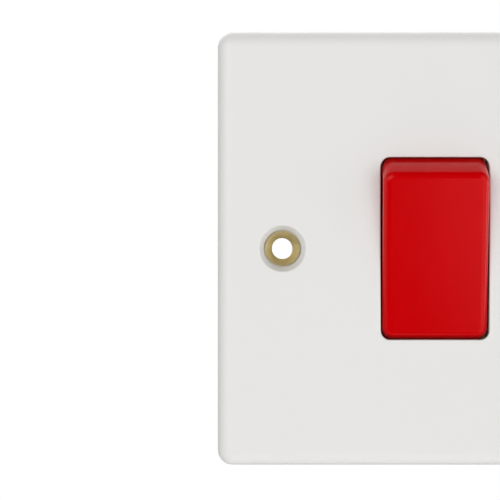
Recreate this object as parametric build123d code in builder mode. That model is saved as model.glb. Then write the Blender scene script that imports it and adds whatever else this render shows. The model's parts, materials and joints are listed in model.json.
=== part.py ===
from build123d import *
import os
from math import acos, asin, cos, degrees, hypot, radians, sin, sqrt

# Double pole switch on a square single-gang plate. Sizes are in millimetres.
# x runs right seen from the room, y runs into the wall and z runs up.
# The origin is on the wall plane, midway between the two fixing screws.
# The switch is shown on: the rocker's top stands proud and both contact pairs are closed.

# Plate
plate_size = 86.0
plate_depth = 8.5
plate_corner = 3.0
plate_edge_round = 2.8
plate_side_wall = 2.4
plate_front_wall = 2.8
plate_inner_corner = 1.5
face_edge_round = 0.3
collar_wall = 1.6
rib_width = 1.2
rib_height = 1.2
pillar_diameter = 6.4
boss_diameter = 11.0
post_diameter = 4.6

# Fixing eyelets
fixing_spacing = 60.3
fixing_bore = 4.2
eyelet_flange = 6.9
eyelet_wall = 0.55
eyelet_rim = 0.5
eyelet_collar = 7.4
eyelet_collar_height = 0.6
eyelet_collar_chamfer = 0.25
recess_diameter = 9.2
recess_depth = 1.5
flange_gap = 0.15
seat_gap = 0.05

# Rocker
rocker_width = 20.9
rocker_tilt = 8.2
rocker_wall = 1.8
rocker_dish = 0.35
rocker_corner = 2.2
rocker_edge_round = 1.5
rocker_sunk = 0.4
rocker_skirt = 2.0
rocker_hub = 7.2
rocker_web = 1.2
aperture_height = 35.8
aperture_corner = 1.8
rocker_gap = 0.3
pivot_depth = 7.5
trunnion_diameter = 4.4
trunnion_length = 1.5
pivot_clearance = 0.08
stop_gap = 0.35
hub_clearance = 0.6

# Plungers and springs, measured from the rocker's pivot
pole_spacing = 10.4
tube_diameter = 5.6
tube_reach = 8.5
plunger_diameter = 3.9
plunger_clearance = 0.09
plunger_reach = 13.6
plunger_tail = 4.5
spigot_diameter = 2.2
spigot_length = 2.0
spring_length = 7.5
spring_wire = 0.6
spring_gap = 0.1
spring_turns = 5

# Contacts
contact_ratio = -1.0
bar_width = 4.0
bar_thickness = 1.5
bar_margin = 0.2
bar_bottom = 6.5
bar_corner = 1.2
plunger_gap = 0.15
contact_reach = 12.4
moving_tip_diameter = 4.0
moving_tip_height = 1.0
moving_tip_dome = 8.0
fixed_tip_diameter = 4.2
fixed_tip_height = 1.0
fixed_tip_chamfer = 0.3
contact_gap = 0.05
strip_thickness = 1.2
strip_width = 4.6
ear_width = 5.0
ear_gap = 0.25
ear_front = 1.3
pin_stub = 0.3

# Terminals and screws
terminal_spacing = 16.0
terminal_width = 10.0
terminal_length = 10.0
terminal_depth = 11.0
terminal_chamfer = 0.6
terminal_bore = 6.2
terminal_front_wall = 1.3
terminal_screw = 4.4
terminal_screw_length = 6.6
terminal_screw_pitch = 5.6
screw_tip_gap = 0.25
screw_chamfer = 0.4
screw_slot_width = 0.9
screw_slot_depth = 1.2
thread_gap = 0.05
screw_hole_gap = 0.3

# Base
base_wall = 2.0
base_inner_wall = 1.2
base_floor = 3.5
base_corner = 2.5
base_edge_round = 1.0
barrier_depth = 7.0
panel_depth = 0.8
panel_margin = 1.8
pocket_gap = 0.2
chamber_gap = 0.35
bar_end_gap = 1.2
entry_gap = 0.5
entry_chamfer = 0.8
well_gap = 0.7
lug_height = 7.4
lug_thickness = 5.5
lug_offset = 2.8
lug_margin = 0.4
base_screw_shank = 2.9
base_screw_head = 5.4
base_screw_head_height = 1.9
base_screw_grip = 3.6
pilot_spare = 0.5

# Earth
strap_thickness = 0.8
strap_width = 5.5
strap_bend = 6.0
strap_ring = 9.4
post_spread = 36.0
earth_width = 9.0
earth_height = 6.6
earth_depth = 8.0
earth_bore = 4.6
earth_bore_offset = 3.6
earth_screw = 3.5
earth_screw_length = 4.8

# Levels along y and places that follow from the sizes above
face_y = -plate_depth
inner_face_y = face_y + plate_front_wall
strap_back = -eyelet_collar_height
strap_front = strap_back - strap_thickness
pivot_y = face_y + pivot_depth
plate_inner = plate_size - 2 * plate_side_wall
fixing_x = fixing_spacing / 2

aperture_width = rocker_width + 2 * rocker_gap
aperture_arc = hypot(aperture_height / 2, pivot_depth)
collar_width = aperture_width + 2 * collar_wall
collar_height = 2 * (aperture_arc + collar_wall)
trunnion_radius = trunnion_diameter / 2
saddle_radius = trunnion_radius + pivot_clearance

tilt = radians(rocker_tilt)
rocker_arc = aperture_arc - rocker_gap
low_edge = pivot_depth - rocker_sunk
rocker_face = low_edge * cos(tilt) + sqrt(rocker_arc**2 - low_edge**2) * sin(tilt)
rocker_half = sqrt(rocker_arc**2 - rocker_face**2)
rocker_inner_face = rocker_face - rocker_dish - rocker_wall
rocker_inner_width = rocker_width - 2 * rocker_wall
hub_radius = rocker_hub / 2
skirt_half = sqrt(rocker_arc**2 - rocker_skirt**2)
skirt_travel = skirt_half * sin(tilt) - rocker_skirt * cos(tilt)

pole_x = pole_spacing / 2
plunger_radius = plunger_diameter / 2
spring_seat = plunger_tail - spring_length
spring_radius = plunger_radius - spring_wire / 2

bar_top = contact_reach + moving_tip_diameter / 2 + bar_margin
contact_tilt = contact_ratio * rocker_tilt
lean = radians(contact_tilt)
pin_radius = bar_thickness / 2
pin_reach = bar_width / 2 + ear_gap + strip_thickness + pin_stub
contact_pivot_y = pivot_y + plunger_reach + plunger_gap + bar_thickness / 2
tip_seat_y = contact_pivot_y - contact_reach * sin(lean) + bar_thickness / 2 * cos(lean)
tip_seat_z = contact_reach * cos(lean) + bar_thickness / 2 * sin(lean)
tip_meet_y = tip_seat_y + (moving_tip_height - moving_tip_dome) * cos(lean) + moving_tip_dome
tip_meet_z = tip_seat_z + (moving_tip_height - moving_tip_dome) * sin(lean)
strip_front = tip_meet_y + contact_gap + fixed_tip_height
floor_y = strip_front + strip_thickness
base_back = floor_y + base_floor

chamber_width = 2 * (pin_reach + chamber_gap)
chamber_half = bar_top + bar_end_gap
pocket_inner = chamber_half + base_inner_wall
terminal_inner = pocket_inner + pocket_gap
terminal_z = terminal_inner + terminal_length / 2
pocket_outer = terminal_inner + terminal_length + pocket_gap
base_width = terminal_spacing + terminal_width + 2 * (pocket_gap + base_wall)
base_height = 2 * (pocket_outer + base_wall)
terminal_x = terminal_spacing / 2
bore_y = strip_front - terminal_depth + terminal_front_wall + terminal_bore / 2
screw_tip_y = bore_y + terminal_bore / 2 + screw_tip_gap
barrier_width = terminal_spacing - terminal_width - 2 * (pocket_gap + base_inner_wall)
base_screw_x = base_width / 2 + lug_offset
lug_back = pivot_y + lug_thickness

strap_z = -(base_height + plate_inner) / 4
earth_back = strap_back + earth_depth
earth_bore_y = strap_back + earth_bore_offset
earth_screw_tip = earth_bore_y + earth_bore / 2 + screw_tip_gap

poles = (("live", 1), ("neutral", -1))

os.makedirs("parts", exist_ok=True)


def front_plane(y):
    """The plane at this depth that faces the room: local x runs right and local y up."""
    return Plane.XZ.offset(-y)


def side_view(x, y, angle=0):
    """A side view about an axis along x at this depth: local x runs into the wall, local y up."""
    turn = radians(angle)
    return Plane(origin=(x, y, 0), x_dir=(0, cos(turn), sin(turn)), z_dir=(1, 0, 0))


def depth_axis(plane, along=0, up=0):
    """The line into the wall through a point of a side view, turned as the view is."""
    return Axis(plane.from_local_coords((along, up, 0)), plane.x_dir)


def save(piece, name):
    """Name a finished piece and write it to its own file."""
    piece.part.label = name
    export_step(piece.part, f"parts/{name}.step")


def grub_screws(tip_y, length, diameter, centres):
    """Headless slotted screws along y, with their slots at the back."""
    with BuildPart() as screws:
        with BuildSketch(front_plane(tip_y)):
            with Locations(*centres):
                Circle(diameter / 2)
        extrude(amount=-length)
        chamfer(screws.edges().group_by(Axis.Y)[0], screw_chamfer)
        with BuildSketch(front_plane(tip_y + length)):
            with Locations(*centres):
                Rectangle(diameter, screw_slot_width)
        extrude(amount=screw_slot_depth, mode=Mode.SUBTRACT)
    return screws


# The space that the rocker sweeps, with its running gap: a drum about the pivot
with BuildPart() as rocker_space:
    with BuildSketch(side_view(0, pivot_y)):
        Circle(aperture_arc)
    extrude(amount=aperture_width / 2, both=True)
    fillet(rocker_space.edges().filter_by(GeomType.CIRCLE), aperture_corner)

# Faceplate: a hollow plate with a collar round the rocker, on the side of the wall
flange_radius = eyelet_flange / 2
bore_radius = fixing_bore / 2
tube_radius = bore_radius + eyelet_wall
rim_y = face_y + recess_depth
rim_back = rim_y + eyelet_rim
seat_radius = flange_radius + flange_gap
hole_radius = tube_radius + seat_gap
seat_y = rim_back - flange_gap + seat_gap * sqrt(2)
rib_x = (base_screw_x + pillar_diameter / 2 + fixing_x - boss_diameter / 2) / 2
rib_z = (collar_height + plate_inner) / 4

with BuildPart() as faceplate:
    with BuildSketch(front_plane(0)):
        RectangleRounded(plate_size, plate_size, plate_corner)
    extrude(amount=plate_depth)
    fillet(faceplate.faces().sort_by(Axis.Y)[0].edges(), plate_edge_round)
    with BuildSketch(front_plane(0)):
        RectangleRounded(plate_inner, plate_inner, plate_inner_corner)
    extrude(amount=-inner_face_y, mode=Mode.SUBTRACT)
    with BuildSketch(front_plane(inner_face_y)):
        with GridLocations(2 * rib_x, 0, 2, 1):
            Rectangle(rib_width, plate_inner)
        with GridLocations(0, 2 * rib_z, 1, 2):
            Rectangle(plate_inner, rib_width)
    extrude(amount=-rib_height)
    with BuildSketch(front_plane(inner_face_y)):
        Rectangle(collar_width, collar_height)
        with GridLocations(2 * base_screw_x, 0, 2, 1):
            Circle(pillar_diameter / 2)
    extrude(amount=inner_face_y - pivot_y)
    with BuildSketch(front_plane(inner_face_y)):
        with GridLocations(fixing_spacing, 0, 2, 1):
            Circle(boss_diameter / 2)
        with Locations((-fixing_x, strap_z / 2), (fixing_x, strap_z / 2)):
            Circle(post_diameter / 2)
        with Locations((-post_spread / 2, strap_z), (post_spread / 2, strap_z)):
            Circle(post_diameter / 2)
    extrude(amount=inner_face_y - strap_front)
    add(rocker_space.part, mode=Mode.SUBTRACT)
    with BuildSketch(side_view(0, pivot_y)):
        Circle(saddle_radius)
    extrude(amount=collar_width / 2, both=True, mode=Mode.SUBTRACT)
    with BuildSketch(front_plane(pivot_y)):
        with GridLocations(2 * base_screw_x, 0, 2, 1):
            Circle(base_screw_shank / 2 + thread_gap)
    extrude(amount=base_screw_grip + pilot_spare, mode=Mode.SUBTRACT)
    for side in (-1, 1):
        with BuildSketch(Plane((side * fixing_x, 0, 0))):
            with BuildLine():
                Polyline(
                    (0, face_y),
                    (recess_diameter / 2, face_y),
                    (seat_radius, seat_y),
                    (hole_radius, seat_y + seat_radius - hole_radius),
                    (hole_radius, strap_front),
                    (0, strap_front),
                    close=True,
                )
            make_face()
        revolve(axis=Axis((side * fixing_x, 0, 0), (0, 1, 0)), mode=Mode.SUBTRACT)
    openings = faceplate.faces().sort_by(Axis.Y)[0].inner_wires()
    fillet(openings.edges(), face_edge_round)
save(faceplate, "faceplate")

# Fixing eyelets: flared brass tubes, turned over behind the earth strap
for name, side in (("left", -1), ("right", 1)):
    with BuildPart() as eyelet:
        with BuildSketch(Plane((side * fixing_x, 0, 0))):
            with BuildLine():
                Polyline(
                    (bore_radius, rim_y + flange_radius - bore_radius),
                    (flange_radius, rim_y),
                    (flange_radius, rim_back),
                    (tube_radius, rim_back + flange_radius - tube_radius),
                    (tube_radius, strap_back),
                    (eyelet_collar / 2, strap_back),
                    (eyelet_collar / 2, -eyelet_collar_chamfer),
                    (eyelet_collar / 2 - eyelet_collar_chamfer, 0),
                    (bore_radius, 0),
                    close=True,
                )
            make_face()
        revolve(axis=Axis((side * fixing_x, 0, 0), (0, 1, 0)))
    save(eyelet, f"fixing_eyelet_{name}")

# Rocker: a shell whose ends are arcs about the pivot, with trunnions and spring tubes
rocker_view = side_view(0, pivot_y, rocker_tilt)
corner_angle = 180 - degrees(asin(rocker_half / rocker_arc))
skirt_angle = degrees(acos(-rocker_skirt / rocker_arc))
end_sweep = corner_angle - skirt_angle


def rocker_level(reach):
    """The plane across the rocker at this distance behind its pivot, facing the room."""
    return Plane(rocker_view.from_local_coords((reach, 0, 0)), (1, 0, 0), -rocker_view.x_dir)


with BuildPart() as rocker:
    with BuildSketch(rocker_view):
        with BuildLine():
            ThreePointArc(
                (-rocker_face, -rocker_half),
                (rocker_dish - rocker_face, 0),
                (-rocker_face, rocker_half),
            )
            CenterArc((0, 0), rocker_arc, skirt_angle, end_sweep)
            Line((-rocker_skirt, skirt_half), (-rocker_skirt, -skirt_half))
            CenterArc((0, 0), rocker_arc, -corner_angle, end_sweep)
        make_face()
        Circle(hub_radius)
        with Locations((-rocker_skirt / 2, 0)):
            Rectangle(rocker_skirt, rocker_hub)
    extrude(amount=rocker_width / 2, both=True)
    ends = rocker.faces().filter_by(GeomType.CYLINDER).sort_by(Axis.Z)
    fillet((ends[0].edges() + ends[-1].edges()).filter_by(GeomType.CIRCLE), rocker_corner)
    fillet(rocker.faces().sort_by(depth_axis(rocker_view))[0].edges(), rocker_edge_round)
    with BuildSketch(rocker_view):
        Circle(rocker_arc - rocker_wall)
        with Locations(((hub_radius - rocker_inner_face) / 2, 0)):
            Rectangle(hub_radius + rocker_inner_face, 2 * rocker_arc, mode=Mode.INTERSECT)
    extrude(amount=rocker_inner_width / 2, both=True, mode=Mode.SUBTRACT)
    with BuildSketch(rocker_view):
        with Locations((-rocker_inner_face / 2, 0)):
            Rectangle(rocker_inner_face, rocker_web)
    extrude(amount=rocker_inner_width / 2, both=True)
    with BuildSketch(rocker_level(tube_reach)):
        with GridLocations(pole_spacing, 0, 2, 1):
            Circle(tube_diameter / 2)
    extrude(amount=tube_reach + rocker_inner_face)
    with BuildSketch(rocker_level(tube_reach)):
        with GridLocations(pole_spacing, 0, 2, 1):
            Circle(plunger_radius + plunger_clearance)
    extrude(amount=tube_reach - spring_seat, mode=Mode.SUBTRACT)
    for side in (-1, 1):
        with BuildSketch(rocker_view.offset(side * rocker_width / 2)):
            Circle(trunnion_radius)
        extrude(amount=side * trunnion_length)
save(rocker, "rocker")

# Base: the switch body, open to the front, with a chamber for each pole and four terminal pockets
with BuildPart() as base:
    with BuildSketch(front_plane(pivot_y)):
        RectangleRounded(base_width, base_height, base_corner)
    extrude(amount=pivot_y - base_back)
    fillet(base.faces().sort_by(Axis.Y)[-1].edges(), base_edge_round)
    with BuildSketch(front_plane(pivot_y)):
        SlotOverall(2 * (base_screw_x + lug_margin) + pillar_diameter, lug_height)
    extrude(amount=-lug_thickness)
    with BuildSketch(front_plane(pivot_y)):
        Rectangle(aperture_width, 2 * aperture_arc)
    extrude(amount=-(skirt_travel + stop_gap), mode=Mode.SUBTRACT)
    with BuildSketch(front_plane(pivot_y)):
        Rectangle(aperture_width, rocker_hub + 2 * hub_clearance)
    extrude(amount=-(hub_radius + hub_clearance), mode=Mode.SUBTRACT)
    with BuildSketch(side_view(0, pivot_y)):
        Circle(saddle_radius)
    extrude(amount=collar_width / 2, both=True, mode=Mode.SUBTRACT)
    with BuildSketch(front_plane(pivot_y)):
        with GridLocations(pole_spacing, 0, 2, 1):
            Rectangle(chamber_width, 2 * chamber_half)
        with GridLocations(terminal_spacing, pocket_inner + pocket_outer, 2, 2):
            Rectangle(terminal_width + 2 * pocket_gap, pocket_outer - pocket_inner)
    extrude(amount=pivot_y - floor_y, mode=Mode.SUBTRACT)
    with BuildSketch(front_plane(floor_y)):
        with GridLocations(pole_spacing, 0, 2, 1):
            Rectangle(strip_width + 2 * pocket_gap, 2 * terminal_inner)
    extrude(amount=strip_thickness + pocket_gap, mode=Mode.SUBTRACT)
    with BuildSketch(front_plane(floor_y)):
        with GridLocations(terminal_spacing, 2 * terminal_z, 2, 2):
            SlotCenterToCenter(terminal_screw_pitch, terminal_screw + 2 * well_gap, rotation=90)
    extrude(amount=-base_floor, mode=Mode.SUBTRACT)
    for side in (-1, 1):
        with BuildSketch(Plane.XY.offset(side * pocket_outer)):
            with Locations((-terminal_x, bore_y), (terminal_x, bore_y)):
                Circle(terminal_bore / 2 + entry_gap)
        extrude(amount=side * base_wall, mode=Mode.SUBTRACT)
    entry_edges = base.edges().filter_by(GeomType.CIRCLE).group_by(Axis.Z)
    chamfer(entry_edges[0] + entry_edges[-1], entry_chamfer)
    with BuildSketch(front_plane(base_back)):
        with GridLocations(0, base_height, 1, 2):
            SlotOverall(base_height - 2 * pocket_inner, barrier_width, rotation=90)
    extrude(amount=barrier_depth, mode=Mode.SUBTRACT)
    with BuildSketch(front_plane(base_back)):
        RectangleRounded(base_width - 2 * panel_margin, 2 * (pocket_inner - panel_margin), panel_margin)
    extrude(amount=panel_depth, mode=Mode.SUBTRACT)
    with BuildSketch(front_plane(pivot_y)):
        with GridLocations(2 * base_screw_x, 0, 2, 1):
            Circle(base_screw_shank / 2 + screw_hole_gap)
    extrude(amount=-lug_thickness, mode=Mode.SUBTRACT)
save(base, "base")

# Base screws: they hold the base's lugs to the faceplate's pillars from behind
with BuildPart() as base_screws:
    with BuildSketch(front_plane(lug_back)):
        with GridLocations(2 * base_screw_x, 0, 2, 1):
            Circle(base_screw_shank / 2)
    extrude(amount=lug_thickness + base_screw_grip)
    with BuildSketch(front_plane(lug_back)):
        with GridLocations(2 * base_screw_x, 0, 2, 1):
            Circle(base_screw_head / 2)
    extrude(amount=-base_screw_head_height)
    chamfer(base_screws.edges().group_by(Axis.Y)[-1], screw_chamfer)
    with BuildSketch(front_plane(lug_back + base_screw_head_height)):
        with GridLocations(2 * base_screw_x, 0, 2, 1):
            Rectangle(base_screw_head, screw_slot_width)
            Rectangle(screw_slot_width, base_screw_head / 2)
    extrude(amount=screw_slot_depth, mode=Mode.SUBTRACT)
save(base_screws, "base_screws")

# Terminals: brass blocks bored for the cables, which leave up and down
for supply, end in (("supply", 1), ("load", -1)):
    for pole, side in poles:
        with BuildPart() as terminal:
            with BuildSketch(front_plane(strip_front)):
                with Locations((side * terminal_x, end * terminal_z)):
                    Rectangle(terminal_width, terminal_length)
            extrude(amount=terminal_depth)
            chamfer(terminal.edges().filter_by(Axis.Z), terminal_chamfer)
            with BuildSketch(Plane.XY.offset(end * terminal_inner)):
                with Locations((side * terminal_x, bore_y)):
                    Circle(terminal_bore / 2)
            extrude(amount=end * terminal_length, mode=Mode.SUBTRACT)
            with BuildSketch(front_plane(strip_front)):
                with Locations((side * terminal_x, end * terminal_z)):
                    with GridLocations(0, terminal_screw_pitch, 1, 2):
                        Circle(terminal_screw / 2 + thread_gap)
            extrude(amount=strip_front - bore_y, mode=Mode.SUBTRACT)
        save(terminal, f"{supply}_{pole}_terminal")

screw_centres = [
    (side * terminal_x, end * terminal_z + step * terminal_screw_pitch / 2)
    for side in (-1, 1)
    for end in (-1, 1)
    for step in (-1, 1)
]
terminal_screws = grub_screws(screw_tip_y, terminal_screw_length, terminal_screw, screw_centres)
save(terminal_screws, "terminal_screws")

# Contacts, plungers and springs of the two poles
ear_inner = bar_width / 2 + ear_gap
bracket_end = ear_width / 2
contact_end = tip_meet_z - fixed_tip_diameter / 2 - pocket_gap
for pole, side in poles:
    strip_holes = [
        (side * terminal_x, terminal_z + step * terminal_screw_pitch / 2) for step in (-1, 1)
    ]
    with BuildPart() as fixed_contact:
        with BuildSketch(front_plane(strip_front)):
            with Locations((side * terminal_x, terminal_z)):
                Rectangle(terminal_width, terminal_length)
            with Locations((side * pole_x, (contact_end + terminal_z) / 2)):
                Rectangle(strip_width, terminal_z - contact_end)
            with Locations(*strip_holes):
                Circle(terminal_screw / 2 + screw_hole_gap, mode=Mode.SUBTRACT)
        extrude(amount=-strip_thickness)
    save(fixed_contact, f"{pole}_fixed_contact")

    with BuildPart() as fixed_tip:
        with BuildSketch(front_plane(strip_front)):
            with Locations((side * pole_x, tip_meet_z)):
                Circle(fixed_tip_diameter / 2)
        extrude(amount=fixed_tip_height)
        chamfer(fixed_tip.edges().group_by(Axis.Y)[0], fixed_tip_chamfer)
    save(fixed_tip, f"{pole}_fixed_tip")

    with BuildPart() as pivot_bracket:
        with BuildSketch(front_plane(strip_front)):
            with Locations((side * terminal_x, -terminal_z)):
                Rectangle(terminal_width, terminal_length)
            with Locations((side * pole_x, (bracket_end - terminal_z) / 2)):
                Rectangle(strip_width, terminal_z + bracket_end)
            with Locations((side * pole_x, 0)):
                Rectangle(2 * (ear_inner + strip_thickness), ear_width)
            with Locations(*[(x, -z) for x, z in strip_holes]):
                Circle(terminal_screw / 2 + screw_hole_gap, mode=Mode.SUBTRACT)
        extrude(amount=-strip_thickness)
        for edge in (-1, 1):
            with BuildSketch(side_view(side * pole_x + edge * ear_inner, contact_pivot_y)):
                with Locations(((strip_front - contact_pivot_y - ear_front) / 2, 0)):
                    Rectangle(strip_front - contact_pivot_y + ear_front, ear_width)
                Circle(pin_radius + pivot_clearance, mode=Mode.SUBTRACT)
                with Locations((-ear_front / 2, 0)):
                    Rectangle(ear_front, 2 * (pin_radius + pivot_clearance), mode=Mode.SUBTRACT)
            extrude(amount=edge * strip_thickness)
    save(pivot_bracket, f"{pole}_pivot_bracket")

    bar_view = side_view(side * pole_x, contact_pivot_y, contact_tilt)
    with BuildPart() as moving_contact:
        with BuildSketch(bar_view):
            with Locations((0, (bar_top - bar_bottom) / 2)):
                Rectangle(bar_thickness, bar_top + bar_bottom)
        extrude(amount=bar_width / 2, both=True)
        fillet(moving_contact.edges().filter_by(depth_axis(bar_view)), bar_corner)
        with BuildSketch(bar_view):
            Circle(pin_radius)
        extrude(amount=pin_reach, both=True)
    save(moving_contact, f"{pole}_moving_contact")

    tip_radius = moving_tip_diameter / 2
    tip_front = bar_thickness / 2
    dome_start = moving_tip_height - moving_tip_dome + sqrt(moving_tip_dome**2 - tip_radius**2)
    with BuildPart() as moving_tip:
        with BuildSketch(bar_view):
            with BuildLine():
                Polyline(
                    (tip_front + moving_tip_height, contact_reach),
                    (tip_front, contact_reach),
                    (tip_front, contact_reach + tip_radius),
                    (tip_front + dome_start, contact_reach + tip_radius),
                )
                RadiusArc(
                    (tip_front + dome_start, contact_reach + tip_radius),
                    (tip_front + moving_tip_height, contact_reach),
                    moving_tip_dome,
                )
            make_face()
        revolve(axis=depth_axis(bar_view, 0, contact_reach))
    save(moving_tip, f"{pole}_moving_tip")

    plunger_view = side_view(side * pole_x, pivot_y, rocker_tilt)
    with BuildPart() as plunger:
        with BuildSketch(plunger_view):
            with BuildLine():
                Polyline(
                    (plunger_reach, 0),
                    (plunger_tail - spigot_length, 0),
                    (plunger_tail - spigot_length, spigot_diameter / 2),
                    (plunger_tail, spigot_diameter / 2),
                    (plunger_tail, plunger_radius),
                    (plunger_reach - plunger_radius, plunger_radius),
                )
                RadiusArc(
                    (plunger_reach - plunger_radius, plunger_radius),
                    (plunger_reach, 0),
                    plunger_radius,
                )
            make_face()
        revolve(axis=depth_axis(plunger_view))
    save(plunger, f"{pole}_plunger")

    coil_start = spring_seat + spring_wire / 2 + spring_gap
    coil_height = spring_length - spring_wire - 2 * spring_gap
    with BuildPart() as spring:
        with BuildLine() as coil:
            Helix(
                coil_height / spring_turns,
                coil_height,
                spring_radius,
                center=plunger_view.from_local_coords((coil_start, 0, 0)),
                direction=plunger_view.x_dir,
            )
        with BuildSketch(Plane(coil.line @ 0, z_dir=coil.line % 0)):
            Circle(spring_wire / 2)
        sweep(is_frenet=True)
    save(spring, f"{pole}_spring")

# Earth: a strap under the base joins the eyelets and carries the earth terminal
with BuildPart() as earth_strap:
    with BuildSketch(front_plane(strap_front)):
        with BuildLine():
            FilletPolyline(
                (-fixing_x, 0),
                (-fixing_x, strap_z),
                (fixing_x, strap_z),
                (fixing_x, 0),
                radius=strap_bend,
            )
        trace(line_width=strap_width)
        with GridLocations(fixing_spacing, 0, 2, 1):
            Circle(strap_ring / 2)
            Circle(tube_radius + seat_gap, mode=Mode.SUBTRACT)
    extrude(amount=-strap_thickness)
save(earth_strap, "earth_strap")

with BuildPart() as earth_terminal:
    with BuildSketch(front_plane(strap_back)):
        with Locations((0, strap_z)):
            Rectangle(earth_width, earth_height)
    extrude(amount=-earth_depth)
    chamfer(earth_terminal.edges().filter_by(Axis.X).group_by(Axis.Y)[-1], terminal_chamfer)
    with BuildSketch(side_view(0, earth_bore_y)):
        with Locations((0, strap_z)):
            Circle(earth_bore / 2)
    extrude(amount=earth_width / 2, both=True, mode=Mode.SUBTRACT)
    with BuildSketch(front_plane(earth_back)):
        with Locations((0, strap_z)):
            Circle(earth_screw / 2 + thread_gap)
    extrude(amount=earth_back - earth_bore_y, mode=Mode.SUBTRACT)
save(earth_terminal, "earth_terminal")

earth_terminal_screw = grub_screws(earth_screw_tip, earth_screw_length, earth_screw, [(0, strap_z)])
save(earth_terminal_screw, "earth_terminal_screw")
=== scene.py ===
import json
from collections import namedtuple
from math import cos, pi, radians, sin

import bmesh
import bpy
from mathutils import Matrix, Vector


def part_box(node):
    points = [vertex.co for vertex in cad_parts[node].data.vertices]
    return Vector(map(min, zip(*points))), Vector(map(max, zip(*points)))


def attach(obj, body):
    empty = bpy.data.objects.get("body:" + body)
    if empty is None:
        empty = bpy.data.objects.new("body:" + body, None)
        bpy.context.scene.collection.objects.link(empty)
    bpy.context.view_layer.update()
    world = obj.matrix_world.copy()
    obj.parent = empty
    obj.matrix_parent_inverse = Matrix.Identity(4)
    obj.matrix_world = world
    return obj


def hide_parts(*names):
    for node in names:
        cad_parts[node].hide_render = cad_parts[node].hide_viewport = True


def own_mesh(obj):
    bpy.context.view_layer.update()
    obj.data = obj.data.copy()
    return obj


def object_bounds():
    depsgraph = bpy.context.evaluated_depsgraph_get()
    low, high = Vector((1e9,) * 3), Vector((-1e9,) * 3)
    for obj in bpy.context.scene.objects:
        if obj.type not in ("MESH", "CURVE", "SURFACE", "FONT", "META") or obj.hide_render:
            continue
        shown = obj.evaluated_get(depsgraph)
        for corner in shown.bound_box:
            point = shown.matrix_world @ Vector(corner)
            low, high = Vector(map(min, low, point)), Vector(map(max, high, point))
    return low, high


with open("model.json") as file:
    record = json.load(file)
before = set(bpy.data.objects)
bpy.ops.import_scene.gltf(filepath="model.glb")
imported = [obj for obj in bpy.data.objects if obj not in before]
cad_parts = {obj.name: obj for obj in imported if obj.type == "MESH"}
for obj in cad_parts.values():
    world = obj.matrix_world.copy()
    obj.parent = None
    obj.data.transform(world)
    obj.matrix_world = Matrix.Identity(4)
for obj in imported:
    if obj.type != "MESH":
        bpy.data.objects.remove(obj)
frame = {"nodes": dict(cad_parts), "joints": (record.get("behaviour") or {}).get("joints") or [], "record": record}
cad_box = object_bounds()

# Sizes are in metres. The frame gives every place; these are the small sizes that a node's box
# can't show.
MM = 0.001
plate_front_wall = 2.8 * MM
rocker_draft = 0.50 * MM
merge_distance = 0.0001 * MM

# Screws
screw_slot_width = 0.9 * MM
screw_slot_depth = 1.2 * MM
screw_chamfer = 0.4 * MM
terminal_screw_diameter = 4.4 * MM
terminal_screw_length = 6.6 * MM
terminal_thread = {"Pitch": 0.7 * MM, "Thread Depth": 0.30 * MM}
earth_thread = {"Pitch": 0.6 * MM, "Thread Depth": 0.26 * MM}
base_screw_shank = 2.9 * MM
base_screw_length = 9.1 * MM
base_screw_head = 5.4 * MM
base_screw_head_height = 1.9 * MM
base_thread = {"Pitch": 1.1 * MM, "Thread Depth": 0.40 * MM}

# The shank runs this share of the head's height up into it, so that the two join well
head_sunk_share = 0.25

# A head's top is narrower than its foot by the taper, and the power keeps most of that near the top
head_taper = 0.34
head_taper_power = 3.0

# Lengths of the slot's cutter and of the short cross slot, as shares of the screw's width
through_slot_share = 1.5
cross_slot_share = 0.5

# How finely the screws are drawn, the sharpest edge that is still shaded soft, and the chance
# that turns their slots
thread_sides = 30
thread_rings_a_turn = 6.0
head_sides = 40
head_rings = 8
soft_edge = radians(30)
turn_seed = 7

# Marks of the mould's pins inside the plate, with their places as x and z in millimetres
ejector_diameter = 4.0 * MM
ejector_height = 0.12 * MM
ejector_rim_share = 0.94
ejector_disc_share = 0.9
ejector_sides = 40
ejector_rings = 8
ejector_places = [
    (-35.5, 35.5), (35.5, 35.5), (0.0, 36.0),
    (-36.5, 15.0), (36.5, 15.0), (-36.5, -15.0), (36.5, -15.0),
]

# Noise keeps near its middle, so it is stretched from within these limits
noise_middle = 0.5
noise_limits = (0.3, 0.7)
patch_limits = (0.35, 0.65)

# Tool lines are noise drawn out along z
tool_line_stretch = (1.0, 1.0, 0.04)

# How far past its share a speck's noise runs before the speck is at its darkest
speck_edge = 0.12

# The camera stands square to the plate, level with its middle and a little left of its fixing hole
photo_pixels = 500
pixels_per_mm = 5.06
camera_distance = 400 * MM
camera_x = -36.6 * MM
camera_z = -0.3 * MM
sensor_width = 36.0

# The stage
floor_drop = 400 * MM
floor_radius = 0.50
floor_fade_share = 0.5
floor_sides = 96
floor_colour = (0.86, 0.86, 0.86, 1.0)
floor_roughness = 0.7
floor_glow = 0.34
white = (1.0, 1.0, 1.0, 1.0)

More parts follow.
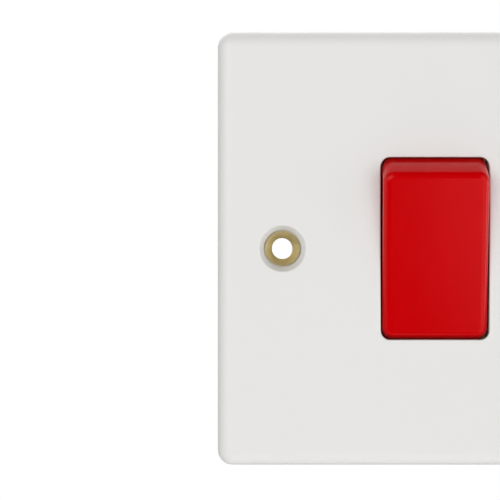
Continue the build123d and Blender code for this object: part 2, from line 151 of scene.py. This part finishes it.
# Soft glows round the object. Each has its middle in degrees, as seen from the object with the
# camera at azimuth 0, the angles off that middle where it starts and ends to fade, and its strength.
Glow = namedtuple("Glow", "azimuth elevation core edge strength")
glows = {
    "left": Glow(-36, 12, 12, 30, 2.6),
    "right": Glow(40, 8, 12, 30, 1.8),
    "front left": Glow(-14, 8, 8, 20, 2.25),
    "left high": Glow(-30, 42, 10, 26, 0.5),
    "left side": Glow(-78, 5, 15, 38, 1.1),
    "right side": Glow(82, 0, 15, 38, 0.8),
    "left low": Glow(-42, -42, 12, 28, 0.5),
    "right low": Glow(46, -40, 12, 28, 0.95),
    "right middle": Glow(46, -16, 8, 22, 1.2),
    "sheen": Glow(20, -19, 12, 15, 1.5),
    "rim": Glow(84, -8, 6, 18, 3.0),
    "back high": Glow(180, 60, 15, 45, 1.6),
    "back": Glow(180, 0, 40, 75, 0.25),
    "back left": Glow(-162, 28, 10, 30, 2.4),
    "back right": Glow(157, -8, 10, 28, 1.3),
}


# Nodes
def place(tree, kind, feeds=None, **settings):
    """Add a node, make its settings, then feed its inputs values or other nodes' outputs."""
    made = tree.nodes.new(kind)
    for name, value in settings.items():
        setattr(made, name, value)
    for name, value in (feeds or {}).items():
        if isinstance(value, bpy.types.NodeSocket):
            tree.links.new(value, made.inputs[name])
        else:
            made.inputs[name].default_value = value
    return made


def calc(tree, operation, first, second=0.0):
    """The result of one sum on two values."""
    return place(tree, "ShaderNodeMath", {0: first, 1: second}, operation=operation).outputs[0]


def half_of(tree, value):
    return calc(tree, "MULTIPLY", value, 0.5)


def vector(tree, **axes):
    """A vector put together from its X, Y and Z, where one that is left out is zero."""
    return place(tree, "ShaderNodeCombineXYZ", axes).outputs["Vector"]


def spread(tree, value, low, high, floor=0.0, ceiling=1.0):
    """A value that runs from floor to ceiling, carried over to low to high."""
    feeds = {"Value": value, "From Min": floor, "From Max": ceiling, "To Min": low, "To Max": high}
    return place(tree, "ShaderNodeMapRange", feeds).outputs["Result"]


def mixed(tree, share, first, second):
    """Two colours mixed by a share from 0 to 1."""
    mix = place(tree, "ShaderNodeMix", data_type="RGBA")
    for socket, value in (("Factor_Float", share), ("A_Color", first), ("B_Color", second)):
        target = next(s for s in mix.inputs if s.identifier == socket)
        if isinstance(value, bpy.types.NodeSocket):
            tree.links.new(value, target)
        else:
            target.default_value = value
    return next(s for s in mix.outputs if s.identifier == "Result_Color")


def noise(tree, where, scale, detail, roughness=0.5):
    """Soft random values over the surface, with this many lumps a metre."""
    feeds = {"Vector": where, "Scale": scale, "Detail": detail, "Roughness": roughness}
    return place(tree, "ShaderNodeTexNoise", feeds).outputs["Fac"]


def new_group(name, inputs, outputs=(), kind="ShaderNodeTree"):
    """An empty node group with these value inputs and outputs, and the sockets of its end nodes."""
    tree = bpy.data.node_groups.new(name, kind)
    if kind == "GeometryNodeTree":
        for way in ("INPUT", "OUTPUT"):
            tree.interface.new_socket("Geometry", in_out=way, socket_type="NodeSocketGeometry")
    for label, value in inputs.items():
        socket = tree.interface.new_socket(label, in_out="INPUT", socket_type="NodeSocketFloat")
        socket.default_value = value
    for label in outputs:
        tree.interface.new_socket(label, in_out="OUTPUT", socket_type="NodeSocketFloat")
    start = tree.nodes.new("NodeGroupInput")
    end = tree.nodes.new("NodeGroupOutput")
    return tree, start.outputs, end.inputs


# Shared surface effects
def moulded_skin_group():
    """What a mould leaves on plastic: slow flow clouds, a gentle ripple and a fine grain."""
    inputs = {"Flow Scale": 40.0, "Ripple Scale": 500.0, "Grain Scale": 6000.0, "Grain Share": 0.3}
    tree, given, made = new_group("moulded_skin", inputs, ("Flow", "Ripple", "Height"))
    where = place(tree, "ShaderNodeTexCoord").outputs["Object"]
    flow = noise(tree, where, given["Flow Scale"], detail=2.0)
    ripple = noise(tree, where, given["Ripple Scale"], detail=1.0)
    grain = noise(tree, where, given["Grain Scale"], detail=2.0)
    fine = calc(tree, "MULTIPLY", grain, given["Grain Share"])
    tree.links.new(flow, made["Flow"])
    tree.links.new(ripple, made["Ripple"])
    tree.links.new(calc(tree, "ADD", ripple, fine), made["Height"])
    return tree


def worked_metal_group():
    """What the press and the lathe leave on metal: fine tool lines, dull patches and dark specks."""
    inputs = {
        "Line Scale": 3000.0,
        "Patch Scale": 300.0,
        "Speck Scale": 1500.0,
        "Speck Share": 0.35,
    }
    tree, given, made = new_group("worked_metal", inputs, ("Lines", "Patches", "Specks"))
    where = place(tree, "ShaderNodeTexCoord").outputs["Object"]
    drawn = place(tree, "ShaderNodeMapping", {"Vector": where, "Scale": tool_line_stretch})
    lines = noise(tree, drawn.outputs["Vector"], given["Line Scale"], detail=3.0)
    patches = noise(tree, where, given["Patch Scale"], detail=3.0, roughness=0.6)
    specks = noise(tree, where, given["Speck Scale"], detail=2.0)
    shown = calc(tree, "SUBTRACT", given["Speck Share"], specks)
    tree.links.new(lines, made["Lines"])
    tree.links.new(patches, made["Patches"])
    tree.links.new(spread(tree, shown, 0.0, 1.0, ceiling=speck_edge), made["Specks"])
    return tree


moulded_skin = moulded_skin_group()
worked_metal = worked_metal_group()


# Materials
def new_material(name, group, **values):
    """A material with one Principled shader and one placed group."""
    material = bpy.data.materials.new(name)
    material.use_nodes = True
    tree = material.node_tree
    shader = next(n for n in tree.nodes if n.type == "BSDF_PRINCIPLED")
    effect = place(tree, "ShaderNodeGroup", node_tree=group)
    for label, value in values.items():
        effect.inputs[label.replace("_", " ").title()].default_value = value
    return material, tree, shader, effect.outputs


def bump(tree, shader, height, distance):
    """Feed a height in metres to the shader's normal."""
    feeds = {"Height": height, "Distance": distance, "Strength": 1.0}
    normal = place(tree, "ShaderNodeBump", feeds).outputs["Normal"]
    tree.links.new(normal, shader.inputs["Normal"])


def plastic(name, pale, deep, rough, ripple_depth, ior=1.5, glint=white, **values):
    """Moulded plastic between two near shades, with its ripple as bump and its glints tinted."""
    material, tree, shader, skin = new_material(name, moulded_skin, **values)
    shade = mixed(tree, spread(tree, skin["Flow"], 0.0, 1.0, *noise_limits), deep, pale)
    tree.links.new(shade, shader.inputs["Base Color"])
    roughness = spread(tree, skin["Ripple"], *rough, *noise_limits)
    tree.links.new(roughness, shader.inputs["Roughness"])
    bump(tree, shader, skin["Height"], ripple_depth)
    shader.inputs["IOR"].default_value = ior
    shader.inputs["Specular Tint"].default_value = glint
    return material


def white_plate():
    return plastic(
        "white_plate",
        pale=(0.800, 0.792, 0.775, 1.0),
        deep=(0.794, 0.786, 0.769, 1.0),
        rough=(0.42, 0.46),
        ripple_depth=0.0008 * MM,
        ior=1.47,
        flow_scale=22.0,
        ripple_scale=700.0,
        grain_scale=6000.0,
        grain_share=0.3,
    )


def red_rocker():
    return plastic(
        "red_rocker",
        pale=(0.575, 0.0005, 0.0020, 1.0),
        deep=(0.555, 0.0004, 0.0016, 1.0),
        rough=(0.10, 0.13),
        ripple_depth=0.002 * MM,
        ior=1.40,
        glint=(1.0, 0.3, 0.3, 1.0),
        flow_scale=70.0,
        ripple_scale=320.0,
        grain_scale=5000.0,
        grain_share=0.15,
    )


def base_moulding():
    return plastic(
        "base_moulding",
        pale=(0.76, 0.755, 0.735, 1.0),
        deep=(0.68, 0.675, 0.655, 1.0),
        rough=(0.42, 0.58),
        ripple_depth=0.02 * MM,
        flow_scale=60.0,
        ripple_scale=900.0,
        grain_scale=9000.0,
        grain_share=0.8,
    )


def nylon():
    return plastic(
        "nylon",
        pale=(0.86, 0.85, 0.80, 1.0),
        deep=(0.78, 0.765, 0.71, 1.0),
        rough=(0.38, 0.5),
        ripple_depth=0.01 * MM,
        flow_scale=200.0,
        ripple_scale=1500.0,
        grain_scale=9000.0,
        grain_share=0.5,
    )


def metal(name, bright, dull, dark, rough, line_depth, **values):
    """Bare metal between two shades, with dark specks and tool lines."""
    material, tree, shader, marks = new_material(name, worked_metal, **values)
    lean = calc(tree, "SUBTRACT", marks["Lines"], noise_middle)
    worn = calc(tree, "ADD", marks["Patches"], lean)
    shade = mixed(tree, spread(tree, worn, 0.0, 1.0, *noise_limits), bright, dull)
    tree.links.new(mixed(tree, marks["Specks"], shade, dark), shader.inputs["Base Color"])
    roughness = spread(tree, marks["Patches"], *rough, *patch_limits)
    tree.links.new(roughness, shader.inputs["Roughness"])
    bump(tree, shader, marks["Lines"], line_depth)
    shader.inputs["Metallic"].default_value = 1.0
    return material


def brass():
    return metal(
        "brass",
        bright=(0.74, 0.64, 0.39, 1.0),
        dull=(0.64, 0.54, 0.30, 1.0),
        dark=(0.42, 0.33, 0.17, 1.0),
        rough=(0.27, 0.38),
        line_depth=0.004 * MM,
        line_scale=5000.0,
        patch_scale=160.0,
        speck_scale=2600.0,
        speck_share=0.33,
    )


def plated_steel():
    return metal(
        "plated_steel",
        bright=(0.74, 0.73, 0.70, 1.0),
        dull=(0.60, 0.60, 0.59, 1.0),
        dark=(0.42, 0.41, 0.39, 1.0),
        rough=(0.20, 0.38),
        line_depth=0.008 * MM,
        line_scale=5000.0,
        patch_scale=900.0,
        speck_scale=3000.0,
        speck_share=0.30,
    )


def silver_contact():
    return metal(
        "silver_contact",
        bright=(0.88, 0.87, 0.85, 1.0),
        dull=(0.74, 0.73, 0.71, 1.0),
        dark=(0.5, 0.48, 0.45, 1.0),
        rough=(0.22, 0.36),
        line_depth=0.006 * MM,
        line_scale=6000.0,
        patch_scale=1200.0,
        speck_scale=4000.0,
        speck_share=0.28,
    )


def spring_steel():
    return metal(
        "spring_steel",
        bright=(0.56, 0.56, 0.57, 1.0),
        dull=(0.40, 0.40, 0.41, 1.0),
        dark=(0.25, 0.25, 0.25, 1.0),
        rough=(0.25, 0.4),
        line_depth=0.006 * MM,
        line_scale=6000.0,
        patch_scale=1200.0,
        speck_scale=4000.0,
        speck_share=0.28,
    )


finishes = {
    "white_plate": white_plate(),
    "red_rocker": red_rocker(),
    "brass": brass(),
    "base_moulding": base_moulding(),
    "plated_steel": plated_steel(),
    "silver_contact": silver_contact(),
    "nylon": nylon(),
    "spring_steel": spring_steel(),
}

# Every node takes the finish of its slot, and a copy of its mesh takes it along
for subpart in frame["record"]["subparts"]:
    materials = frame["nodes"][subpart["node"]].data.materials
    materials.clear()
    materials.append(finishes[subpart["material_slot"]])


# The rocker, whose end walls lean in, and the springs, which move with it
def merged_copy(node):
    """A node's mesh with its loose triangles joined and each corner still facing as it did."""
    mesh = frame["nodes"][node].data.copy()
    facing = mesh.attributes.new("facing", "FLOAT_VECTOR", "CORNER")
    for corner, normal in zip(facing.data, mesh.corner_normals):
        corner.vector = normal.vector
    shape = bmesh.new()
    shape.from_mesh(mesh)
    bmesh.ops.remove_doubles(shape, verts=shape.verts, dist=merge_distance)
    shape.to_mesh(mesh)
    shape.free()
    mesh.normals_split_custom_set([corner.vector for corner in mesh.attributes["facing"].data])
    mesh.attributes.remove(mesh.attributes["facing"])
    return mesh


def joint_named(name):
    return next(joint for joint in frame["joints"] if joint["name"] == name)


def on_rocker(name, mesh, node):
    """A new piece that stands for one of the rocker's nodes and moves with it."""
    piece = bpy.data.objects.new(name, mesh)
    bpy.context.scene.collection.objects.link(piece)
    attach(piece, "rocker")
    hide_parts(node)
    return piece


def drafted_rocker():
    """The rocker with a moulder's draft: its end walls lean in towards the face.

    That opens the gaps past its two ends. At the pivot's level the walls stay where they are.
    """
    joint = joint_named("rocker_tilt")
    pivot = Vector(joint["pos_m"])
    tilt = radians(sum(joint["range_deg"]) / 2)
    along = Vector((0.0, sin(tilt), cos(tilt)))
    outward = Vector((0.0, -cos(tilt), sin(tilt)))
    mesh = merged_copy("rocker")
    half_length = max(along.dot(point.co - pivot) for point in mesh.vertices)
    face_height = max(outward.dot(point.co - pivot) for point in mesh.vertices)
    for point in mesh.vertices:
        end_share = along.dot(point.co - pivot) / half_length
        face_share = max(0.0, outward.dot(point.co - pivot) / face_height)
        point.co -= along * rocker_draft * end_share * face_share
    mesh.update()
    on_rocker("rocker_moulding", mesh, "rocker")


def coil_spring(pole):
    """A spring with its loose triangles joined, which moves with the rocker."""
    mesh = merged_copy(f"{pole}_spring")
    piece = on_rocker(f"{pole}_coil_spring", mesh, f"{pole}_spring")
    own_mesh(piece)


drafted_rocker()
coil_spring("live")
coil_spring("neutral")


# Screws and mould marks: one small shape on many points, turned to face the wall
def point_places(tree):
    """The x, y and z of each point of a shape."""
    spot = place(tree, "GeometryNodeInputPosition").outputs["Position"]
    return place(tree, "ShaderNodeSeparateXYZ", {0: spot}).outputs


def narrowed(tree, shape, x, y, z, share):
    """A shape whose points keep this share of their distance from the z axis."""
    inward = vector(
        tree,
        X=calc(tree, "MULTIPLY", x, share),
        Y=calc(tree, "MULTIPLY", y, share),
        Z=z,
    )
    feeds = {"Geometry": shape, "Position": inward}
    return place(tree, "GeometryNodeSetPosition", feeds).outputs["Geometry"]


def moved(tree, shape, along, turn=0.0):
    """A shape moved along z and turned about it."""
    feeds = {
        "Geometry": shape,
        "Translation": vector(tree, Z=along),
        "Rotation": (0.0, 0.0, turn),
    }
    return place(tree, "GeometryNodeTransform", feeds).outputs["Geometry"]


def threaded_rod(tree, given):
    """A rod along z with a thread whose crests are at its radius, and a chamfer at both ends."""
    radius = half_of(tree, given["Diameter"])
    turns = calc(tree, "DIVIDE", given["Length"], given["Pitch"])
    feeds = {
        "Vertices": thread_sides,
        "Side Segments": calc(tree, "MULTIPLY", turns, thread_rings_a_turn),
        "Radius": radius,
        "Depth": given["Length"],
    }
    rod = place(tree, "GeometryNodeMeshCylinder", feeds, fill_type="NGON").outputs["Mesh"]
    x, y, z = point_places(tree)
    angle = calc(tree, "DIVIDE", calc(tree, "ARCTAN2", y, x), 2 * pi)
    rise = calc(tree, "DIVIDE", z, given["Pitch"])
    wind = calc(tree, "FRACT", calc(tree, "ADD", rise, angle))
    to_and_fro = calc(tree, "SUBTRACT", calc(tree, "MULTIPLY", wind, 2.0), 1.0)
    flank = calc(tree, "ABSOLUTE", to_and_fro)
    groove = calc(tree, "MULTIPLY", flank, given["Thread Depth"])
    from_end = calc(tree, "SUBTRACT", half_of(tree, given["Length"]), calc(tree, "ABSOLUTE", z))
    corner = calc(tree, "SUBTRACT", given["Chamfer"], from_end)
    cut = calc(tree, "MAXIMUM", groove, corner)
    share = calc(tree, "DIVIDE", calc(tree, "SUBTRACT", radius, cut), radius)
    rod = narrowed(tree, rod, x, y, z, share)
    return place(tree, "GeometryNodeTriangulate", {"Mesh": rod}).outputs["Mesh"]


def slot_cutter(tree, given, width, share, face, turn=0.0):
    """A bar that cuts a driver slot, a share of this width long, into a face at this height."""
    size = vector(
        tree,
        X=calc(tree, "MULTIPLY", width, share),
        Y=given["Slot Width"],
        Z=calc(tree, "MULTIPLY", given["Slot Depth"], 2.0),
    )
    bar = place(tree, "GeometryNodeMeshCube", {"Size": size}).outputs["Mesh"]
    return moved(tree, bar, face, turn)


def cut_from(tree, shape, *cutters):
    """A shape with some cutters taken out of it."""
    feeds = {"Mesh 1": shape}
    boolean = place(
        tree, "GeometryNodeMeshBoolean", feeds, operation="DIFFERENCE", solver="EXACT"
    )
    for cutter in cutters:
        tree.links.new(cutter, boolean.inputs["Mesh 2"])
    return boolean.outputs["Mesh"]


def joined(tree, *shapes):
    """Overlapping shapes made into one."""
    boolean = place(tree, "GeometryNodeMeshBoolean", operation="UNION", solver="EXACT")
    for shape in shapes:
        tree.links.new(shape, boolean.inputs["Mesh 2"])
    return boolean.outputs["Mesh"]


def softly_shaded(tree, shape):
    """A shape shaded smooth, but for its sharp edges."""
    angle = place(tree, "GeometryNodeInputMeshEdgeAngle").outputs["Unsigned Angle"]
    soft = calc(tree, "LESS_THAN", angle, soft_edge)
    for domain, smooth in (("FACE", True), ("EDGE", soft)):
        feeds = {"Geometry": shape, "Shade Smooth": smooth}
        shaded = place(tree, "GeometryNodeSetShadeSmooth", feeds, domain=domain)
        shape = shaded.outputs["Geometry"]
    return shape


def on_points(tree, given, made, shape, finish, spin):
    """Put a shape on each point with its z axis towards the wall, turned by chance up to a spin."""
    chance = place(tree, "FunctionNodeRandomValue", {"Seed": turn_seed}, data_type="FLOAT")
    for label, value in (("Min", 0.0), ("Max", spin)):
        limit = next(s for s in chance.inputs if s.name == label and s.type == "VALUE")
        limit.default_value = value
    turned = next(s for s in chance.outputs if s.type == "VALUE")
    points = place(tree, "GeometryNodeMeshToPoints", {"Mesh": given["Geometry"]})
    feeds = {
        "Points": points.outputs["Points"],
        "Instance": shape,
        "Rotation": vector(tree, X=-pi / 2, Y=turned),
    }
    placed = place(tree, "GeometryNodeInstanceOnPoints", feeds).outputs["Instances"]
    real = place(tree, "GeometryNodeRealizeInstances", {"Geometry": placed}).outputs["Geometry"]
    feeds = {"Geometry": softly_shaded(tree, real), "Material": finish}
    finished = place(tree, "GeometryNodeSetMaterial", feeds).outputs["Geometry"]
    tree.links.new(finished, made["Geometry"])


def grub_screw_tree():
    """Headless screws: a threaded rod with a driver slot at its back end."""
    inputs = {
        "Diameter": terminal_screw_diameter,
        "Length": terminal_screw_length,
        **terminal_thread,
        "Chamfer": screw_chamfer,
        "Slot Width": screw_slot_width,
        "Slot Depth": screw_slot_depth,
    }
    tree, given, made = new_group("grub_screws", inputs, kind="GeometryNodeTree")
    end = half_of(tree, given["Length"])
    slot = slot_cutter(tree, given, given["Diameter"], through_slot_share, end)
    screw = cut_from(tree, threaded_rod(tree, given), slot)
    on_points(tree, given, made, screw, finishes["plated_steel"], pi)
    return tree


def headed_screw_tree():
    """Screws with a low domed head, a slot and a short cross slot. A point is under the head."""
    inputs = {
        "Diameter": base_screw_shank,
        "Length": base_screw_length,
        **base_thread,
        "Chamfer": screw_chamfer,
        "Head Diameter": base_screw_head,
        "Head Height": base_screw_head_height,
        "Slot Width": screw_slot_width,
        "Slot Depth": screw_slot_depth,
    }
    tree, given, made = new_group("headed_screws", inputs, kind="GeometryNodeTree")
    width, height = given["Head Diameter"], given["Head Height"]
    feeds = {
        "Vertices": head_sides,
        "Side Segments": head_rings,
        "Radius": half_of(tree, width),
        "Depth": height,
    }
    head = place(tree, "GeometryNodeMeshCylinder", feeds, fill_type="NGON").outputs["Mesh"]
    x, y, z = point_places(tree)
    rise = calc(tree, "ADD", calc(tree, "DIVIDE", z, height), 0.5)
    taper = calc(tree, "MULTIPLY", calc(tree, "POWER", rise, head_taper_power), head_taper)
    head = narrowed(tree, head, x, y, z, calc(tree, "SUBTRACT", 1.0, taper))
    head = moved(tree, head, half_of(tree, height))
    sunk = calc(tree, "MULTIPLY", height, head_sunk_share)
    shank_middle = calc(tree, "SUBTRACT", sunk, half_of(tree, given["Length"]))
    shank = moved(tree, threaded_rod(tree, given), shank_middle)
    long_slot = slot_cutter(tree, given, width, through_slot_share, height)
    short_slot = slot_cutter(tree, given, width, cross_slot_share, height, pi / 2)
    screw = cut_from(tree, joined(tree, head, shank), long_slot, short_slot)
    on_points(tree, given, made, screw, finishes["plated_steel"], pi)
    return tree


def ejector_mark_tree():
    """Round marks that a mould's pins leave: a low ring round a disc that sits a little lower."""
    inputs = {"Diameter": ejector_diameter, "Height": ejector_height}
    tree, given, made = new_group("ejector_marks", inputs, kind="GeometryNodeTree")
    radius = half_of(tree, given["Diameter"])
    rim = calc(tree, "MULTIPLY", radius, ejector_rim_share)
    half_height = half_of(tree, given["Height"])
    feeds = {
        "Vertices": ejector_sides,
        "Fill Segments": ejector_rings,
        "Radius Top": rim,
        "Radius Bottom": radius,
        "Depth": given["Height"],
    }
    mark = place(tree, "GeometryNodeMeshCone", feeds, fill_type="TRIANGLE_FAN").outputs["Mesh"]
    x, y, z = point_places(tree)
    squares = calc(tree, "ADD", calc(tree, "MULTIPLY", x, x), calc(tree, "MULTIPLY", y, y))
    disc = calc(tree, "MULTIPLY", rim, ejector_disc_share)
    inside = calc(tree, "LESS_THAN", calc(tree, "SQRT", squares), disc)
    raised = calc(tree, "GREATER_THAN", z, half_height)
    feeds = {
        "Geometry": mark,
        "Selection": calc(tree, "MULTIPLY", inside, raised),
        "Offset": vector(tree, Z=calc(tree, "MULTIPLY", half_height, -1.0)),
    }
    mark = place(tree, "GeometryNodeSetPosition", feeds).outputs["Geometry"]
    on_points(tree, given, made, mark, finishes["white_plate"], 0.0)
    return tree


def run_tree(name, tree, points, sizes):
    """Run a tree on some points with these sizes, and keep what it makes as a plain mesh."""
    seeds = bpy.data.meshes.new(name)
    seeds.from_pydata(points, [], [])
    piece = bpy.data.objects.new(name, seeds)
    bpy.context.scene.collection.objects.link(piece)
    maker = piece.modifiers.new("maker", "NODES")
    maker.node_group = tree
    for socket in tree.interface.items_tree:
        if socket.name in sizes:
            maker[socket.identifier] = sizes[socket.name]
    shown = piece.evaluated_get(bpy.context.evaluated_depsgraph_get())
    mesh = bpy.data.meshes.new_from_object(shown)
    piece.modifiers.remove(maker)
    piece.data = mesh
    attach(piece, "plate")
    return piece


def threaded_screws(name, tree, points, sizes, node):
    """Steel screws on these points, which stand for a node of plain ones."""
    piece = run_tree(name, tree, points, sizes)
    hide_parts(node)


def terminal_screws(tree):
    """Two screws in each of the four terminals, in the holes that the frame gives."""
    low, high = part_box("terminal_screws")
    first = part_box("supply_live_terminal")
    middle = (first[0] + first[1]) / 2
    diameter = 2 * (high.x - middle.x)
    step = high.z - middle.z - diameter / 2
    points = [
        (side * middle.x, (low.y + high.y) / 2, end * middle.z + shift)
        for side in (-1, 1)
        for end in (-1, 1)
        for shift in (-step, step)
    ]
    sizes = {"Diameter": diameter, "Length": high.y - low.y, **terminal_thread}
    threaded_screws("threaded_terminal_screws", tree, points, sizes, "terminal_screws")


def earth_screw(tree):
    """The one screw in the earth terminal."""
    low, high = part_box("earth_terminal_screw")
    points = [(low + high) / 2]
    sizes = {"Diameter": high.x - low.x, "Length": high.y - low.y, **earth_thread}
    threaded_screws("threaded_earth_screw", tree, points, sizes, "earth_terminal_screw")


def base_screws(tree):
    """The two screws that hold the base's lugs."""
    low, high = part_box("base_screws")
    head = high.z - low.z
    under_head = high.y - base_screw_head_height
    points = [(x, under_head, 0.0) for x in (low.x + head / 2, high.x - head / 2)]
    sunk = base_screw_head_height * head_sunk_share
    sizes = {
        "Diameter": base_screw_shank,
        "Length": under_head - low.y + sunk,
        "Head Diameter": head,
        **base_thread,
    }
    threaded_screws("threaded_base_screws", tree, points, sizes, "base_screws")


def ejector_marks(tree):
    """Pin marks on the plate's inner face, near its corners and sides."""
    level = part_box("faceplate")[0].y + plate_front_wall
    points = [(x * MM, level, z * MM) for x, z in ejector_places]
    sizes = {"Diameter": ejector_diameter, "Height": ejector_height}
    piece = run_tree("plate_ejector_marks", tree, points, sizes)


grub_screws = grub_screw_tree()
terminal_screws(grub_screws)
earth_screw(grub_screws)
base_screws(headed_screw_tree())
ejector_marks(ejector_mark_tree())


# The stage, the light and the camera
def pale_floor():
    """A pale round floor well below the plate, which fades out towards its edge."""
    bpy.ops.mesh.primitive_circle_add(
        vertices=floor_sides, radius=floor_radius, fill_type="NGON"
    )
    floor = bpy.context.object
    floor.name = "floor"
    floor.location.z = cad_box[0].z - floor_drop
    material = bpy.data.materials.new("floor")
    material.use_nodes = True
    tree = material.node_tree
    shader = next(n for n in tree.nodes if n.type == "BSDF_PRINCIPLED")
    where = place(tree, "ShaderNodeTexCoord").outputs["Object"]
    reach = place(tree, "ShaderNodeVectorMath", {0: where}, operation="LENGTH").outputs["Value"]
    alpha = spread(tree, reach, 1.0, 0.0, floor_radius * floor_fade_share, floor_radius)
    tree.links.new(alpha, shader.inputs["Alpha"])
    shader.inputs["Base Color"].default_value = floor_colour
    shader.inputs["Roughness"].default_value = floor_roughness
    shader.inputs["Emission Color"].default_value = white
    shader.inputs["Emission Strength"].default_value = floor_glow
    floor.data.materials.append(material)


def fading(tree, value, core, edge):
    """One up to the core, then a soft fall to nothing at the edge."""
    feeds = {"Value": value, "From Min": core, "From Max": edge, "To Min": 1.0, "To Max": 0.0}
    fall = place(tree, "ShaderNodeMapRange", feeds, interpolation_type="SMOOTHSTEP")
    return fall.outputs["Result"]


def shining(tree, way, glow):
    """How strongly one glow shines from each way that the object can look."""
    turn, rise = radians(glow.azimuth), radians(glow.elevation)
    middle = (sin(turn) * cos(rise), -cos(turn) * cos(rise), sin(rise))
    lean = place(tree, "ShaderNodeVectorMath", {0: way, 1: middle}, operation="DOT_PRODUCT")
    angle = calc(tree, "ARCCOSINE", lean.outputs["Value"])
    share = fading(tree, angle, radians(glow.core), radians(glow.edge))
    return calc(tree, "MULTIPLY", share, glow.strength)


def studio_world():
    """White behind the object for the camera; for its light, a dark room with the glows in it."""
    world = bpy.data.worlds.new("studio")
    bpy.context.scene.world = world
    world.use_nodes = True
    tree = world.node_tree
    background = next(n for n in tree.nodes if n.type == "BACKGROUND")
    way = place(tree, "ShaderNodeTexCoord").outputs["Generated"]
    light = 0.0
    for glow in glows.values():
        light = calc(tree, "ADD", light, shining(tree, way, glow))
    seen = place(tree, "ShaderNodeLightPath").outputs["Is Camera Ray"]
    feeds = {"Factor": seen, "A": light, "B": 1.0}
    strength = place(tree, "ShaderNodeMix", feeds, data_type="FLOAT").outputs["Result"]
    tree.links.new(strength, background.inputs["Strength"])
    background.inputs["Color"].default_value = white


def main_camera():
    """The photograph's view: square to the plate, with no shift and everything sharp."""
    lens = bpy.data.cameras.new("camera")
    lens.sensor_width = sensor_width
    lens.lens = sensor_width * pixels_per_mm / MM * camera_distance / photo_pixels
    holder = bpy.data.objects.new("camera", lens)
    plate_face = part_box("faceplate")[0].y
    holder.location = (camera_x, plate_face - camera_distance, camera_z)
    holder.rotation_euler = (pi / 2, 0.0, 0.0)
    bpy.context.scene.collection.objects.link(holder)
    bpy.context.scene.camera = holder


pale_floor()
studio_world()
main_camera()
bpy.context.scene.view_settings.view_transform = "Standard"
